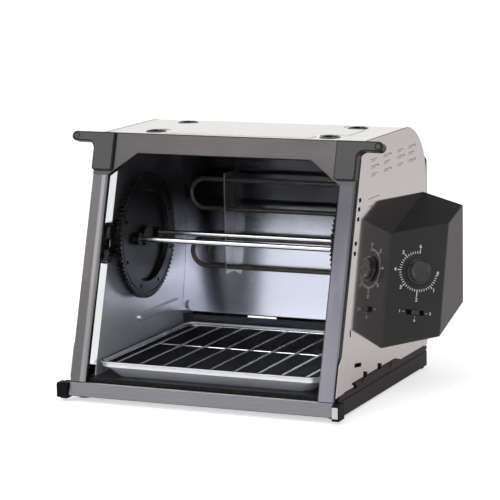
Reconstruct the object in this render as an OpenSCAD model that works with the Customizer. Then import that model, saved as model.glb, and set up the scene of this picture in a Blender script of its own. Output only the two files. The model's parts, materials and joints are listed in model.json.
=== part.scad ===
// Countertop rotisserie oven with a leaning glass door, a motor-driven spit,
// a drip tray with its grate and a faceted control housing on the right side.
// Frame: X to the right, Y from the door to the back, Z up from the table.
// Modules are written about the foot of the closed door, then place() moves
// the whole oven over the middle of its own footprint.

/* [Body] */
// Width over the two outer side panels
body_w = 365; // [345:1:385]
// Height of the top sheet above the table
body_h = 332; // [315:1:350]
// Outer radius between the top and the back
corner_r = 76; // [50:1:90]
// Thickness of the steel sheet
sheet = 1; // [0.8:0.1:1.3]
// Space between a side panel and the inner wall beside it
wall_gap = 21.5; // [20:0.5:26]
// Width of the pressed strip along the front edge of a side panel
panel_strip = 18; // [12:1:24]

/* [Base] */
// Height of the rubber feet under the base
foot_h = 3.5; // [3:0.5:6]
// Radius of a rubber foot
foot_r = 10; // [7:0.5:12]
// Height of the moulded base above its feet
base_h = 26; // [23:0.5:29]
// How far the base stands out past each side panel
base_out = 2.5; // [2:0.1:4]
// Wall thickness of the base
base_wall = 2.5; // [2:0.1:3]

/* [Door] */
// How far each side of the door stands in from the side panel
door_inset = 1.5; // [0.5:0.1:3]
// How far the door's upper edge stands above the top sheet
door_over = 3.5; // [1:0.5:6]
// Lean of the closed door from upright, in degrees
door_lean = 17.3; // [14:0.1:20]
// Height of the door's lower edge above the table
door_z = 8; // [7.5:0.5:10]
// Thickness of the front frame bars
rail_t = 4.5; // [4:0.1:6]
// Thickness of the black frame behind the glass
back_t = 4.5; // [4:0.1:6]
// Width of an upright frame bar
stile_w = 21; // [18:0.5:26]
// Height of the top frame bar
top_rail_h = 26; // [20:0.5:32]
// Height of the bottom frame bar
bottom_rail_h = 18.5; // [16:0.5:22]
// Width of the slanted cut in the window's top corners
corner_cut_w = 40; // [20:1:50]
// Height of the slanted cut in the window's top corners
corner_cut_h = 30; // [20:1:34]
// Thickness of the glass
glass_t = 3; // [2.5:0.1:3.4]
// Radius of the hinge pins
hinge_r = 3; // [2:0.1:3.4]

/* [Handles] */
// Width of the block that clasps the door corner
handle_block_w = 27.5; // [24:0.5:34]
// Height of that block
handle_block_h = 50; // [40:1:60]
// How far a handle reaches out past the door's side
handle_reach = 34; // [25:1:45]
// Height of the handle bar
handle_bar_h = 12.5; // [10:0.5:18]
// How far a handle stands out in front of the door
handle_proud = 3.5; // [2:0.1:4]

/* [Spit] */
// Module of the spit gearing
gear_module = 2; // [1.9:0.05:2.1]
// Teeth on each spit wheel
wheel_teeth = 82; // [76:1:84]
// Teeth on the drive gear
drive_teeth = 14; // [12:1:16]
// Thickness of a spit wheel's rim
wheel_t = 8; // [6:0.5:10]
// Gap between a spit wheel and the inner wall
wheel_gap = 7; // [6:0.1:8]
// Clearance between the spit wheels and the door's back
wheel_front_gap = 17.5; // [12:0.5:24]
// Space behind the spit wheels up to the back edge of the side panels
wheel_rear_gap = 88.4; // [80:0.2:100]
// Height of the spit's axis above the table
spit_z = 190; // [184:1:194]
// Radius of the hub pins that the spit turns on
hub_r = 8; // [6:0.5:10]
// Diameter of a spit rod
rod_d = 7; // [5:0.5:8]
// Distance between the two spit rods
rod_pitch = 60; // [44:1:80]
// Angle of the drive gear below the spit's axis, towards the back, in degrees
drive_angle = 15; // [5:1:25]
// Radius of the drive shaft
drive_shaft_r = 3; // [2.5:0.1:3.5]

/* [Tray] */
// Gap between the tray's rim and the inner wall at each side
tray_side_gap = 8; // [7:0.5:16]
// Gap in front of the tray's rim, up to the front of the base
tray_front_gap = 10; // [9:0.5:16]
// Gap between the tray's rim and the upstand behind it
tray_rear_gap = 4.4; // [3:0.1:12]
// Height of the drip tray
tray_h = 22; // [18:0.5:26]
// Thickness of the tray's metal
tray_t = 1.2; // [1:0.1:1.6]
// How far the tray's walls lean in from rim to floor
tray_draft = 14; // [4:0.5:16]
// Diameter of the grate's border wire
border_wire_d = 3.6; // [3:0.1:4.4]
// Diameter of the grate's bars
bar_wire_d = 2.8; // [2:0.1:3.2]
// Number of front-to-back bars in the grate
bar_count = 9; // [7:1:12]

/* [Controls] */
// How far the control housing stands out from the side panel
housing_out = 61; // [56:1:70]
// Turn of the control face away from the front, in degrees
face_turn = 40; // [32:1:44]
// Lean of the control face where it meets the side panel, in degrees
face_lean = 15.2; // [12:0.1:18]
// Height of the control face's lower corner at the panel
face_low_z = 59; // [54:1:64]
// Height of the control face's upper corner at the panel
face_top_z = 203; // [196:1:210]
// Depth of the housing where it meets the side panel, from the face's lower corner back
housing_d = 167; // [155:1:172]
// Wall thickness of the control housing
housing_wall = 2.5; // [2:0.1:3]
// Radius of the rounded edges of the control housing
housing_edge_r = 2; // [1:0.1:2.5]
// Height of the timer knob's centre above the face's lower corner
knob_up = 96; // [92:1:100]
// Height of the switch's centre above the face's lower corner
switch_up = 44; // [38:1:48]
// Radius of the timer knob's skirt
knob_r = 16.5; // [14:0.5:19]
// Height of the timer knob
knob_h = 8; // [7:0.5:14]
// Radius of the timer shaft
timer_shaft_r = 3; // [2.5:0.1:3.5]
// Travel of the switch from its middle position to either side
switch_travel = 7; // [4:0.5:8]

/* [Heater] */
// Diameter of the heating tube
element_d = 6.5; // [5:0.1:8]
// Number of level runs in the heating tube, an even number
element_runs = 4; // [2:2:6]
// Distance between two runs
element_pitch = 40; // [24:1:44]
// How far the reflector bulges towards the back
reflector_sag = 20; // [12:1:21]

/* [Clearances] */
// Radial clearance of a pin or shaft that turns
running_gap = 0.05; // [0.02:0.01:0.1]
// Gap between a moving piece and what it slides past
slide_gap = 0.4; // [0.3:0.1:0.8]
// Gap between the closed door and the body
door_gap = 0.6; // [0.4:0.1:1.5]
// Gap between pieces of one assembly that lie side by side
seat_gap = 0.2; // [0.1:0.05:0.3]

/* [Hidden] */

$fn = 32;
eps = 0.01;

// Heights, from the table up
base_z = foot_h;
base_top = base_z + base_h;
floor_z = base_top - 2.5;
roof_z = body_h - 14;

// Half widths
panel_x = body_w / 2;
wall_x = panel_x - wall_gap;
cavity_w = 2 * wall_x;
door_x = panel_x - door_inset;
door_w = 2 * door_x;
base_x = panel_x + base_out;
window_x = door_x - stile_w;

// The door's own frame: x across, y into the oven, z up the slope
door_h = (body_h + door_over - door_z) / cos(door_lean);
door_t = rail_t + back_t;
hinge_in = door_t / 2 + 0.5;
hinge_up = 7;
hinge_y = hinge_up * sin(door_lean) + hinge_in * cos(door_lean);
hinge_z = door_z + hinge_up * cos(door_lean) - hinge_in * sin(door_lean);
body_back = door_t + door_gap;
window_top = door_h - top_rail_h;
corner_low = window_top - corner_cut_h;

// Y of a plane that lies back behind the door's front face, at height z
function door_y(z, back) = (z - door_z) * tan(door_lean) + back / cos(door_lean);
// Place along the slope that lies at height z on the door's front face
function up_slope(z) = (z - door_z) / cos(door_lean);

base_front = door_y(base_top, body_back);
wheel_addendum = 0.8;
wheel_tip_r = gear_module * (wheel_teeth / 2 + wheel_addendum);
spit_y = door_y(spit_z, door_t) + (wheel_tip_r + wheel_front_gap) / cos(door_lean);
rear_y = spit_y + wheel_tip_r + wheel_rear_gap;
cover_t = 2.5;
cover_sheet = 1.2;
cover_low = base_top + 1;
cover_top = body_h - corner_r + 29;
tail_low = body_h - corner_r - 20;
flange_w = 14;
gland_out = 4;
lip_h = 6;
lip_y = door_y(base_top, body_back + panel_strip) + 36;
lip_len = 153;
ear_back = rail_t - 1;
ear_top = base_top + 48;
base_bite = 9;
flare_back = 30;
flare_front = 12;

// Hinge blocks in front of the base
block_front = -2;
block_x = door_x + 1.2;
block_w = 9.3;
block_low = base_z + 0.5;
block_top = 24;
cap_w = 5.5;

// Spit and its drive
wheel_pitch_r = gear_module * wheel_teeth / 2;
drive_pitch_r = gear_module * drive_teeth / 2;
mesh_gap = 0.2;
gear_distance = wheel_pitch_r + drive_pitch_r + mesh_gap;
drive_y = spit_y + gear_distance * cos(drive_angle);
drive_z = spit_z - gear_distance * sin(drive_angle);
web_t = 2.2;
rest_t = wheel_gap - 1.5;
hub_len = wheel_gap - 0.8;
drive_gear_w = wheel_t + 2;
drive_gear_in = wheel_gap - 1;
bushing_in = drive_gear_in - 1;
box_t = 14;
motor_len = 24;
motor_r = 22;
motor_y = drive_y + 16;

// Control housing
face_tilt = atan(tan(face_lean) * cos(face_turn));
face_w = housing_out / cos(face_turn);
seam_cos = sin(face_lean) * sin(face_turn);
seam_shift = seam_cos / sqrt(1 - seam_cos * seam_cos);
top_rise = tan(16.2);
top_fall = tan(7.1);
low_fall = tan(6);
housing_rear = rear_y - 10;
rear_turn = 15.5;
face_y = housing_rear - housing_d;
legend_turn = atan(seam_shift);
knob_across = face_w / 2 + knob_up * seam_shift + 3.5;
switch_across = face_w / 2 + switch_up * seam_shift + 3;
knob_lift = 0.8;
slot_h = 7;
slider_w = 10;
slot_w = slider_w + 2 * switch_travel + 1;

// Reflector arc through the two ends of its chord
reflector_low = floor_z + 37;
reflector_top = roof_z - 2;
reflector_y = rear_y - 44;
reflector_half = (reflector_top - reflector_low) / 2;
reflector_r = (reflector_half * reflector_half + reflector_sag * reflector_sag)
  / (2 * reflector_sag);
reflector_cy = reflector_y + reflector_sag - reflector_r;
reflector_cz = (reflector_top + reflector_low) / 2;
element_y = reflector_y - 6;
element_low = spit_z - element_pitch * (element_runs - 1) / 2;
element_x = wall_x - element_pitch / 2 - 22;
clip_x = element_x - 32;
bushing_r = element_d / 2 + 3.4;
ledge_z = floor_z + 32;
ledge_y = rear_y - 39;

// Tray and grate
tray_w = cavity_w - 2 * tray_side_gap;
tray_front = base_front + tray_front_gap;
tray_d = ledge_y - sheet - tray_rear_gap - tray_front;
tray_r = 14;
tray_step = 3;
tray_step_down = 6;
grate_r = 16;
loop_w = 16;
loop_h = 3.6;
grate_z = floor_z + slide_gap / 2 + tray_h - tray_step_down + slide_gap / 2 + border_wire_d / 2;

// Screws: head, shank and the play of the shank in its hole
screw_r = 3;
shank_r = 1.4;
shank_play = 0.05;

// Middle of the footprint
handle_x = door_x + handle_reach;
plate_t = 0.8;
plate_h = 14;
mid_x = (panel_x + housing_out - handle_x) / 2;
mid_y = (block_front - plate_t + rear_y + cover_t + gland_out) / 2;

black = [0.16, 0.15, 0.16];
dark = [0.1, 0.1, 0.11];
frame_grey = [0.42, 0.41, 0.42];
steel = [0.8, 0.79, 0.78];
bright = [0.88, 0.88, 0.9];
rubber = [0.08, 0.08, 0.08];

// ---------- placing ----------

module place() translate([-mid_x, -mid_y, 0]) children();

// Extrudes a side-view outline (y, z) along X
module across(x, w) translate([x, 0, 0]) rotate([90, 0, 90]) linear_extrude(w) children();

// Extrudes a front-view outline (x, z) along Y
module along(y, d) translate([0, y + d, 0]) rotate([90, 0, 0]) linear_extrude(d) children();

module on_door() translate([0, 0, door_z]) rotate([-door_lean, 0, 0]) children();

// Frame of the control face: x across it, y into the housing, z up it
module on_face()
  translate([panel_x, face_y, face_low_z]) rotate([0, 0, face_turn]) rotate([-face_tilt, 0, 0])
    children();

// Frame of the printed scale on the control face, upright along the seam with the panel
module on_legend(a, u) on_face() translate([a, 0, u]) rotate([0, legend_turn, 0]) children();

module both_sides() {
  children();
  mirror([1, 0, 0]) children();
}

// A cylinder along X, from x over length w
module rod_x(x, w, r) translate([x, 0, 0]) rotate([0, 90, 0]) cylinder(r = r, h = w);

// A cylinder along Y
module rod_y(y, w, r) translate([0, y, 0]) rotate([-90, 0, 0]) cylinder(r = r, h = w);

module slot_2d(w, h) {
  square([w - h, h], center = true);
  for (s = [-1, 1]) translate([s * (w - h) / 2, 0]) circle(r = h / 2, $fn = 24);
}

module round_rect(w, h, r) {
  square([w, h - 2 * r], center = true);
  square([w - 2 * r, h], center = true);
  for (sx = [-1, 1], sy = [-1, 1])
    translate([sx * (w / 2 - r), sy * (h / 2 - r)]) circle(r = r);
}

// A pan-head screw with a cross recess, head up, shank down
module screw(shank_h) {
  head_h = screw_r * 0.6;
  difference() {
    union() {
      cylinder(r1 = screw_r, r2 = screw_r * 0.7, h = head_h, $fn = 20);
      translate([0, 0, -shank_h]) cylinder(r = shank_r, h = shank_h + eps, $fn = 20);
    }
    for (a = [0, 90]) rotate([0, 0, a])
      translate([0, 0, head_h]) cube([screw_r * 1.1, screw_r * 0.25, head_h], center = true);
  }
}

// Hole for a screw's shank, along -Z from the underside of its head
module screw_hole(depth)
  translate([0, 0, -depth]) cylinder(r = shank_r + shank_play, h = depth + 1, $fn = 20);

// ---------- where the body's screws go ----------

cover_screw_in = 9;
function cover_screw_z() = [cover_low + 10, (cover_low + tail_low) / 2, tail_low + 18];

module at_panel_screws() for (y = [lip_y + 28, lip_y + 128])
  translate([base_x, y, base_top + lip_h / 2]) rotate([0, 90, 0]) children();

module at_rear_screws() for (s = [-1, 1], z = cover_screw_z())
  translate([s * (panel_x - cover_screw_in), rear_y + cover_t, z]) rotate([-90, 0, 0]) children();

module at_base_screws()
  for (s = [-1, 1], y = [base_front + 53, (base_front + rear_y) / 2, rear_y - 53])
  translate([s * (wall_x + sheet / 2), y, base_z]) mirror([0, 0, 1]) children();

// ---------- body ----------

// Side view of the body: behind a plane back from the door's face,
// between height low and the top, everything drawn in by inset
module side_outline(back, low, inset) {
  top = body_h - inset;
  rear = rear_y - inset;
  difference() {
    translate([0, low]) square([rear, top - low]);
    polygon([
      [-1, low - 1], [door_y(low - 1, back), low - 1],
      [door_y(body_h + 1, back), body_h + 1], [-1, body_h + 1]
    ]);
    translate([rear_y - corner_r, body_h - corner_r]) difference() {
      square(corner_r + 1);
      circle(r = corner_r - inset, $fn = 96);
    }
  }
}

module side_panel_blank(x) {
  across(x, sheet) side_outline(body_back, base_top, 0);
  // strip pressed outwards along the front edge
  out = 1;
  across(x > 0 ? x + out : x - out, sheet) difference() {
    side_outline(body_back, base_top, 0);
    side_outline(body_back + panel_strip, base_top - 1, -1);
  }
  // ear at the foot of the strip that reaches forward beside the door
  across(x > 0 ? x + out : x - out, sheet) polygon([
    [door_y(base_top, ear_back), base_top], [door_y(base_top, body_back + 1), base_top],
    [door_y(ear_top, body_back + 1), ear_top], [door_y(ear_top, body_back), ear_top],
    [door_y(ear_top - 9, ear_back), ear_top - 9]
  ]);
  // flange along the back that the rear cover screws to
  across(x > 0 ? x + sheet - flange_w : x, flange_w)
    translate([rear_y - sheet, base_top]) square([sheet, tail_low - seat_gap - base_top]);
}

module panel_lances() {
  // slots near the front edge that the inner wall's tabs hook into
  for (z = [8, 20, 49, 61, 72])
    translate([door_y(spit_z + z, body_back + panel_strip / 2), spit_z + z])
      square([8, 5], center = true);
  translate([door_y(base_top + 71, body_back + panel_strip + 5), base_top + 71])
    square([4, 9], center = true);
  translate([door_y(base_top + 26, body_back + panel_strip + 42), base_top + 26])
    rotate(-8) square([24, 5], center = true);
}

module side_panel_left() color(steel) place() difference() {
  side_panel_blank(-panel_x);
  across(-panel_x - 3, 6) panel_lances();
  mirror([1, 0, 0]) at_panel_screws() screw_hole(20);
  at_rear_screws() screw_hole(20);
}

module side_panel_right() color(steel) place() difference() {
  side_panel_blank(panel_x - sheet);
  across(panel_x - 3, 6) panel_lances();
  at_panel_screws() screw_hole(20);
  at_rear_screws() screw_hole(20);
  // openings under the control housing for the motor and the leads
  translate([0, motor_y, drive_z]) rod_x(panel_x - 3, 6, motor_r + 2);
  across(panel_x - 3, 6) translate([rear_y - 62, face_low_z + 62]) square([24, 18], center = true);
}

// Outline of the low panel pressed up in the top sheet, scooped round the rest cups
rest_x = panel_x - 60.5;
rest_rear = rear_y - 92;
rest_front = rest_rear - 98;
rest_r = 12.5;
rest_deep = 4;

module top_emboss() {
  scoop = rest_r + 7;
  difference() {
    translate([0, (rest_front + rest_rear) / 2])
      round_rect(2 * (rest_x + scoop - 2), rest_rear - rest_front + 2 * (scoop - 2), 14);
    for (s = [-1, 1], y = [rest_front, rest_rear]) translate([s * rest_x, y]) {
      circle(r = scoop);
      translate([s * scoop, 0]) square(2 * scoop, center = true);
      translate([0, y == rest_front ? -scoop : scoop]) square(2 * scoop, center = true);
    }
  }
}

wrap_lip = 14;

module outer_wrap() color(bright) place() difference() {
  union() {
    across(-panel_x + sheet, body_w - 2 * sheet) difference() {
      side_outline(body_back + 1, tail_low, 0);
      side_outline(body_back + 1 + sheet, tail_low - 1, sheet);
      square([rear_y - corner_r, body_h - wrap_lip]);
    }
    translate([0, 0, body_h - 0.3]) linear_extrude(1.1) top_emboss();
  }
  for (s = [-1, 1], y = [rest_front, rest_rear])
    translate([s * rest_x, y, body_h - rest_deep - 1]) cylinder(r = rest_r, h = 10);
  at_rear_screws() screw_hole(20);
}

module top_rest_cups() color(dark) place()
  for (s = [-1, 1], y = [rest_front, rest_rear])
    translate([s * rest_x, y, body_h]) rotate_extrude() polygon([
      [0, -rest_deep], [rest_r - 1.4, -rest_deep], [rest_r - seat_gap / 2, -rest_deep + 1.4],
      [rest_r - seat_gap / 2, 0], [rest_r + 1.4, 0], [rest_r + 0.8, 0.8], [rest_r - 1.4, 0.8],
      [rest_r - 2.4, -rest_deep + 2.2], [0, -rest_deep + 1.4]
    ]);

gland_x = panel_x - 32;
gland_z = cover_low + 22;
gland_r = 6;

// Y of the rounded corner's outside at height z
function corner_y(z) = rear_y - corner_r + sqrt(pow(corner_r, 2) - pow(z - body_h + corner_r, 2));

module cover_2d(inset) translate([0, (cover_low + cover_top) / 2])
  round_rect(body_w - 2 * inset, cover_top - cover_low - 2 * inset, 6 - inset);

cover_pitch = 40;

module rear_cover() color(black) place() difference() {
  union() {
    along(rear_y, cover_t) cover_2d(0);
    // shelf along the top that closes the gap to the rounded corner
    shelf_y = corner_y(cover_top - cover_sheet) + seat_gap;
    across(-panel_x + 1, body_w - 2) translate([shelf_y, cover_top - cover_sheet])
      square([rear_y + eps - shelf_y, cover_sheet]);
  }
  // hollow side, with a pad left round every screw and round the lead-in
  along(rear_y - 1, 1 + cover_t - cover_sheet) difference() {
    cover_2d(cover_sheet);
    for (s = [-1, 1], z = cover_screw_z())
      translate([s * (panel_x - cover_screw_in), z]) circle(r = 6);
    translate([gland_x, gland_z]) circle(r = gland_r + 5);
    for (s = [-1, 1]) translate([s * panel_x, (cover_low + cover_top) / 2])
      square([2 * cover_screw_in - 6, body_h], center = true);
  }
  n = floor((panel_x - 50) / cover_pitch);
  along(rear_y - 1, cover_t + 2) {
    for (i = [-n : n], j = [0 : 6])
      translate([i * cover_pitch, cover_top - 61 - j * 12]) slot_2d(30, 4);
    for (i = [-1, 1], j = [0 : 3])
      translate([i * 1.5 * cover_pitch, cover_low + 20 + j * 12]) slot_2d(44, 4);
  }
  translate([gland_x, 0, gland_z]) rod_y(rear_y - 1, cover_t + 2, gland_r);
  at_rear_screws() screw_hole(20);
}

// Lead-in for the mains lead: a bored grommet clipped into the rear cover
module cord_gland() color(rubber) place()
  translate([gland_x, rear_y, gland_z]) rotate([-90, 0, 0]) rotate_extrude() polygon([
    [3.6, -2.5], [gland_r + 1.8, -2.5], [gland_r + 2.4, -1.5], [gland_r + 2.4, -seat_gap],
    [gland_r - seat_gap / 2, -seat_gap], [gland_r - seat_gap / 2, cover_t + seat_gap],
    [gland_r + 3, cover_t + seat_gap], [gland_r + 2, cover_t + gland_out], [3.6, cover_t + gland_out]
  ]);

module base_outline(inset) {
  c = 8;
  x = base_x - inset;
  y0 = base_front + (inset > 0 ? inset : 0);
  y1 = rear_y - inset;
  polygon([[-x, y0], [x, y0], [x, y1 - c], [x - c, y1], [-x + c, y1], [-x, y1 - c]]);
}

module base_tray() color(black) place() difference() {
  union() {
    translate([0, 0, base_z]) linear_extrude(base_h) base_outline(0);
    // lip that rises outside the panels, undercut in front and ramped behind, with two tabs
    both_sides() across(panel_x + seat_gap, base_out - seat_gap) translate([lip_y, base_top]) {
      polygon([
        [8, -1], [8, 0], [0, lip_h - 1], [2, lip_h], [lip_len, lip_h], [lip_len + 22, 0],
        [lip_len + 22, -1]
      ]);
      for (y = [40, 91]) translate([y, lip_h - 1]) square([1.8, 7.5]);
    }
  }
  // pocket, with the ledge that carries the panels
  translate([0, 0, base_z + base_wall]) linear_extrude(base_h) difference() {
    base_outline(base_wall + 4);
    for (s = [-1, 1]) translate([s * (wall_x + sheet / 2), 0])
      square([base_wall * 2, 3 * rear_y], center = true);
  }
  // floor sheet's seat between the inner walls
  translate([-wall_x - sheet, base_front + 1, floor_z - sheet])
    cube([2 * (wall_x + sheet), rear_y, base_top]);
  // groove along each side, just under the lip
  both_sides() translate([base_x - 1.2, base_front - 1, base_top - 7]) cube([3, rear_y, 3.5]);
  // vent slots in the underside
  for (i = [-3 : 3], j = [0 : 5])
    translate([i * 36, 90 + j * 34, base_z - 1]) linear_extrude(base_wall + 2) slot_2d(26, 5);
  both_sides() at_panel_screws() screw_hole(20);
  at_base_screws() screw_hole(base_bite);
}

function foot_places() = [
  for (s = [-1, 1], y = [base_front + foot_r + 6, rear_y - foot_r - 4])
    [s * (base_x - foot_r - 2), y]
];

module rubber_feet() color(rubber) place()
  for (p = foot_places()) translate([p[0], p[1], 0]) difference() {
    cylinder(r1 = foot_r - 1, r2 = foot_r, h = foot_h);
    translate([0, 0, -1]) cylinder(r = 3, h = 2.2);
  }

// ---------- cavity ----------

rest_low = spit_z - 13.5;
rest_high = spit_z + 30;

module wall_flare(low, high) on_door() translate([0, 0, up_slope(low)])
  linear_extrude(up_slope(high) - up_slope(low)) polygon([
    [wall_x, flare_back + 1], [wall_x, flare_back],
    [panel_x - sheet - 1.4, flare_front], [panel_x - sheet - 0.2, flare_front + 0.6],
    [wall_x + sheet, flare_back + 0.5], [wall_x + sheet, flare_back + 1]
  ]);

rib_low = floor_z + 45.5;
rib_h = 11.5;
rib_rear = rear_y - 54;
rib_front = rib_rear - 125;

module wall_rib() {
  x = wall_x;
  yc = (rib_front + rib_rear) / 2;
  zc = rib_low + rib_h / 2;
  across(x - 1.4, 1.4 + sheet / 2) translate([yc, zc]) slot_2d(rib_rear - rib_front, rib_h);
  across(x - 2.8, 1.4 + eps) translate([yc, zc]) slot_2d(rib_rear - rib_front - 3, rib_h - 3);
}

// Inner wall for the right side; the left one is its mirror image
module inner_wall() {
  across(wall_x, sheet) difference() {
    side_outline(flare_back, floor_z - sheet, 8);
    translate([0, roof_z + 4]) square([2 * rear_y, 50]);
  }
  wall_flare(floor_z + 22.5, rest_low - 1.5);
  wall_flare(rest_high + 1.5, roof_z - 3);
  wall_rib();
}

module inner_wall_left() color(steel) place() mirror([1, 0, 0]) inner_wall();

module inner_wall_right() color(steel) place() difference() {
  inner_wall();
  translate([0, drive_y, drive_z]) rod_x(wall_x - 1, sheet + 2, drive_shaft_r + 3 + seat_gap / 2);
  for (z = element_ends())
    translate([0, element_y, z]) rod_x(wall_x - 1, sheet + 2, bushing_r + seat_gap / 2);
}

module inner_roof() color(steel) place() difference() {
  translate([-wall_x, door_y(roof_z, flare_back + 2), roof_z - sheet])
    cube([cavity_w, rear_y - 60 - door_y(roof_z, flare_back + 2), sheet]);
  for (i = [-5 : 5], j = [0 : 2])
    translate([i * 24, rear_y - 150 + j * 26, roof_z - 2 * sheet])
      linear_extrude(3 * sheet) slot_2d(14, 4);
}

module inner_floor() color(steel) place() across(-wall_x, cavity_w) {
  translate([base_front + 1, floor_z - sheet]) square([ledge_y - base_front - 1, sheet]);
  translate([ledge_y - sheet, floor_z - sheet]) square([sheet, ledge_z - floor_z + sheet]);
  translate([ledge_y - 4, ledge_z - sheet]) square([4, sheet]);
}

module front_sill() color(bright) place() across(-wall_x + seat_gap, cavity_w - 2 * seat_gap)
  polygon([
    [base_front + 1, floor_z], [base_front + 8, floor_z], [base_front + 8, floor_z + 0.8],
    [base_front + 3.4, floor_z + 0.8], [base_front + 2.6, floor_z + 2.2], [base_front + 1.4, floor_z + 2.2]
  ]);

module reflector_2d(grow, thick) intersection() {
  translate([reflector_cy, reflector_cz]) difference() {
    circle(r = reflector_r + grow, $fn = 200);
    circle(r = reflector_r + grow - thick, $fn = 200);
  }
  translate([reflector_y - 5, reflector_low])
    square([reflector_sag + 20, reflector_top - reflector_low]);
}

module rear_reflector() color(bright) place()
  across(-wall_x + seat_gap, cavity_w - 2 * seat_gap) reflector_2d(0, sheet);

function run_z(i) = element_low + i * element_pitch;
function element_ends() = [run_z(0), run_z(element_runs - 1)];

// Heating tube: level runs joined by half turns, both ends through the right wall
module heating_element() color(dark) place() translate([0, element_y, 0]) {
  r = element_d / 2;
  for (i = [0 : element_runs - 1]) {
    is_end = i == 0 || i == element_runs - 1;
    translate([0, 0, run_z(i)])
      rod_x(-element_x, element_x + (is_end ? wall_x + 12 : element_x), r);
  }
  for (i = [0 : element_runs - 2]) {
    side = i % 2 == 0 ? -1 : 1;
    translate([side * element_x, 0, run_z(i) + element_pitch / 2]) rotate([90, 0, 0])
      rotate([0, 0, side > 0 ? -90 : 90]) rotate_extrude(angle = 180)
        translate([element_pitch / 2, 0]) circle(r = r);
  }
}

module element_clips() color(steel) place() for (s = [-1, 1])
  across(s * clip_x - 0.6, 1.2) difference() {
    intersection() {
      translate([element_y - 7, run_z(0) - 9])
        square([60, element_pitch * (element_runs - 1) + 18]);
      translate([reflector_cy, reflector_cz]) circle(r = reflector_r - sheet - seat_gap, $fn = 200);
    }
    for (i = [0 : element_runs - 1])
      translate([element_y, run_z(i)]) circle(r = element_d / 2 + running_gap);
  }

module element_terminals() color("ivory") place() for (z = element_ends())
  translate([wall_x, element_y, z]) rotate([0, 90, 0]) rotate_extrude() polygon([
    [element_d / 2 + running_gap, -5], [bushing_r + 1.6, -5], [bushing_r + 1.6, -seat_gap],
    [bushing_r, -seat_gap], [bushing_r, sheet + 5], [element_d / 2 + running_gap, sheet + 5]
  ]);

module thermal_cutout() color(dark) place()
  translate([60, 0, reflector_cz]) {
    back = reflector_y + reflector_sag + seat_gap;
    rod_y(back, 5, 8);
    rod_y(back + 5 - eps, 2, 5);
    for (s = [-1, 1]) translate([s * 3, back + 6, 0]) cube([1, 9, 5], center = true);
  }

// Rest for a spit wheel's hub: a channel open to the front that ends in a seat
module wheel_rest() {
  seat_r = hub_r + running_gap;
  across(wall_x - rest_t, rest_t - seat_gap / 2) difference() {
    union() {
      difference() {
        translate([0, rest_low]) square([spit_y, rest_high - rest_low]);
        polygon([
          [-1, rest_low - 1], [door_y(rest_low - 1, flare_front + 4), rest_low - 1],
          [door_y(rest_high + 1, flare_front + 4), rest_high + 1], [-1, rest_high + 1]
        ]);
        translate([spit_y - 20, spit_z + 26]) square(60);
      }
      translate([spit_y, spit_z]) circle(r = 26);
    }
    translate([spit_y, spit_z]) circle(r = seat_r);
    translate([-1, spit_z - 2]) square([spit_y + 1, seat_r + 9]);
    translate([spit_y - seat_r, spit_z]) square([2 * seat_r, seat_r + 7]);
  }
  // front block that fills the break in the wall's flared edge
  on_door() translate([0, 0, up_slope(rest_low)]) difference() {
    linear_extrude(up_slope(rest_high) - up_slope(rest_low) - 1) polygon([
      [wall_x - rest_t, flare_front + 4], [panel_x - sheet - 2, flare_front - 1.5],
      [panel_x - sheet - 2, flare_front + 1.5], [wall_x - seat_gap / 2, flare_back - 1],
      [wall_x - rest_t, flare_back - 1]
    ]);
    translate([wall_x - rest_t - 1, 0, up_slope(spit_z - 2) - up_slope(rest_low) + 2])
      cube([rest_t + 1, 40, seat_r + 8]);
  }
}

module wheel_rest_left() color(black) place() mirror([1, 0, 0]) wheel_rest();
module wheel_rest_right() color(black) place() wheel_rest();

// ---------- hinge ----------

module hinge_block(w) difference() {
  across(block_x, w) translate([block_front, block_low]) difference() {
    square([base_front - block_front, block_top - block_low]);
    translate([-1, block_top - block_low - 3]) rotate(35) square([12, 12]);
  }
  translate([0, hinge_y, hinge_z]) rod_x(block_x - 1, w - 0.5, hinge_r + running_gap);
}

module hinge_block_left() color(black) place() mirror([1, 0, 0]) hinge_block(block_w);
module hinge_block_right() color(black) place() hinge_block(block_w);

// Ribbed cap on the outer end of the left hinge block
module hinge_cap() color(dark) place() mirror([1, 0, 0]) difference() {
  across(block_x + block_w, cap_w)
    translate([(block_front + base_front) / 2, (block_low + block_top) / 2])
      round_rect(base_front - block_front - 1, block_top - block_low - 0.6, 3);
  for (i = [-2 : 2]) translate([block_x + block_w + cap_w, 0, (block_low + block_top) / 2 + i * 3.4]) {
    translate([0.6 - cap_w / 2, block_front + 0.5, 0]) cube([cap_w - 2.4, 1.6, 1.4], center = true);
    translate([0, (block_front + base_front) / 2, 0])
      cube([1.6, base_front - block_front - 5, 1.4], center = true);
  }
}

// Bright plate on the front of the right hinge block
module hinge_plate() color(bright) place()
  along(block_front - plate_t, plate_t) translate([block_x + 0.6, block_low + 3.4])
    square([block_w - 1.6, plate_h]);

// ---------- controls ----------

// A corner of the housing with every face drawn in by inset
function housing_x(inset, out) = out ? panel_x + housing_out - inset : panel_x - 6;
function face_plane_y(x, z, inset) =
  face_y + (z - face_low_z) * tan(face_lean) + (x - panel_x) * tan(face_turn)
  + inset / (cos(face_turn) * cos(face_tilt));
top_seam_y = face_plane_y(panel_x, face_top_z, 0);
function rear_plane_y(x, inset) = housing_rear - (x - panel_x) * tan(rear_turn) - inset / cos(rear_turn);
function top_plane_z(x, y, inset) =
  face_top_z + top_rise * (y - top_seam_y) - top_fall * (x - panel_x)
  - inset * sqrt(1 + top_rise * top_rise + top_fall * top_fall);
function low_plane_z(x, y, inset) =
  face_low_z + top_rise * (y - face_y) - low_fall * (x - panel_x)
  + inset * sqrt(1 + top_rise * top_rise + low_fall * low_fall);

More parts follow.
